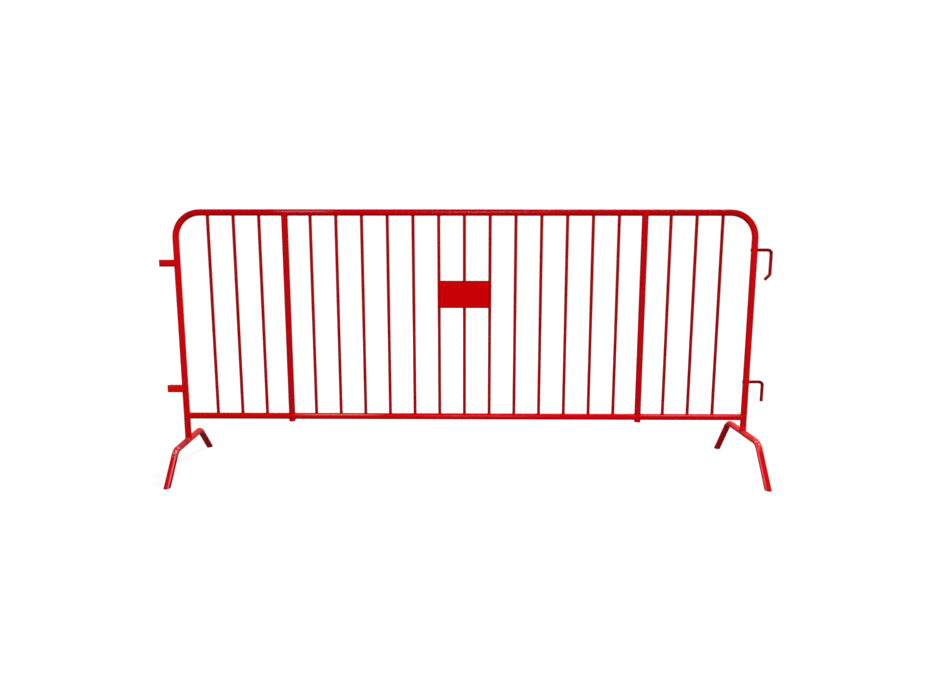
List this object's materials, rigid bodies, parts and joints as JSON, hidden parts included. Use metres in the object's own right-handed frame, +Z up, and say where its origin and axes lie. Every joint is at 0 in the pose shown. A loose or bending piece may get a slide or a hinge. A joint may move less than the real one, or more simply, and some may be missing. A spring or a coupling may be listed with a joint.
{
  "type": "pedestrian barrier panel",
  "caption": "Free-standing welded tube barrier panel with upright bars, a blank sign plate, coupling hooks and strap loops on its ends, and bridge feet that swivel on its uprights.",
  "frame": {"origin": "on the ground, midway between the two uprights", "axes": "+X along the panel towards the hook end, +Y from the plate's side to the back, +Z up"},
  "size_m": [2.5459, 0.6006, 1.1],
  "materials": {
    "red_powder_coat": "glossy red powder coat over steel tube"
  },
  "bodies": {
    "panel": {"frame_tube": "red_powder_coat", "bottom_rail_left": "red_powder_coat", "bottom_rail_centre": "red_powder_coat", "bottom_rail_right": "red_powder_coat", "inner_post_left": "red_powder_coat", "inner_post_right": "red_powder_coat", "infill_bar_01": "red_powder_coat", "infill_bar_02": "red_powder_coat", "infill_bar_03": "red_powder_coat", "infill_bar_04": "red_powder_coat", "infill_bar_05": "red_powder_coat", "infill_bar_06": "red_powder_coat", "infill_bar_07": "red_powder_coat", "infill_bar_08": "red_powder_coat", "infill_bar_09": "red_powder_coat", "infill_bar_10": "red_powder_coat", "infill_bar_11": "red_powder_coat", "infill_bar_12": "red_powder_coat", "infill_bar_13": "red_powder_coat", "infill_bar_14": "red_powder_coat", "infill_bar_15": "red_powder_coat", "infill_bar_16": "red_powder_coat", "infill_bar_17": "red_powder_coat", "infill_bar_18": "red_powder_coat", "infill_bar_19": "red_powder_coat", "sign_plate": "red_powder_coat", "upper_hook": "red_powder_coat", "lower_hook": "red_powder_coat", "upper_loop": "red_powder_coat", "lower_loop": "red_powder_coat"},
    "left_foot": {"left_foot_bridge": "red_powder_coat", "left_foot_stub": "red_powder_coat", "left_foot_spigot": "red_powder_coat"},
    "right_foot": {"right_foot_bridge": "red_powder_coat", "right_foot_stub": "red_powder_coat", "right_foot_spigot": "red_powder_coat"}
  },
  "joints": [
    {"name": "left_foot_swivel", "type": "hinge", "parent": "panel", "child": "left_foot", "pos_m": [-1.19655, 0, 0.1902], "axis": [0, 0, 1], "range_deg": [-90, 90]},
    {"name": "right_foot_swivel", "type": "hinge", "parent": "panel", "child": "right_foot", "pos_m": [1.19655, 0, 0.1902], "axis": [0, 0, 1], "range_deg": [-90, 90]}
  ]
}
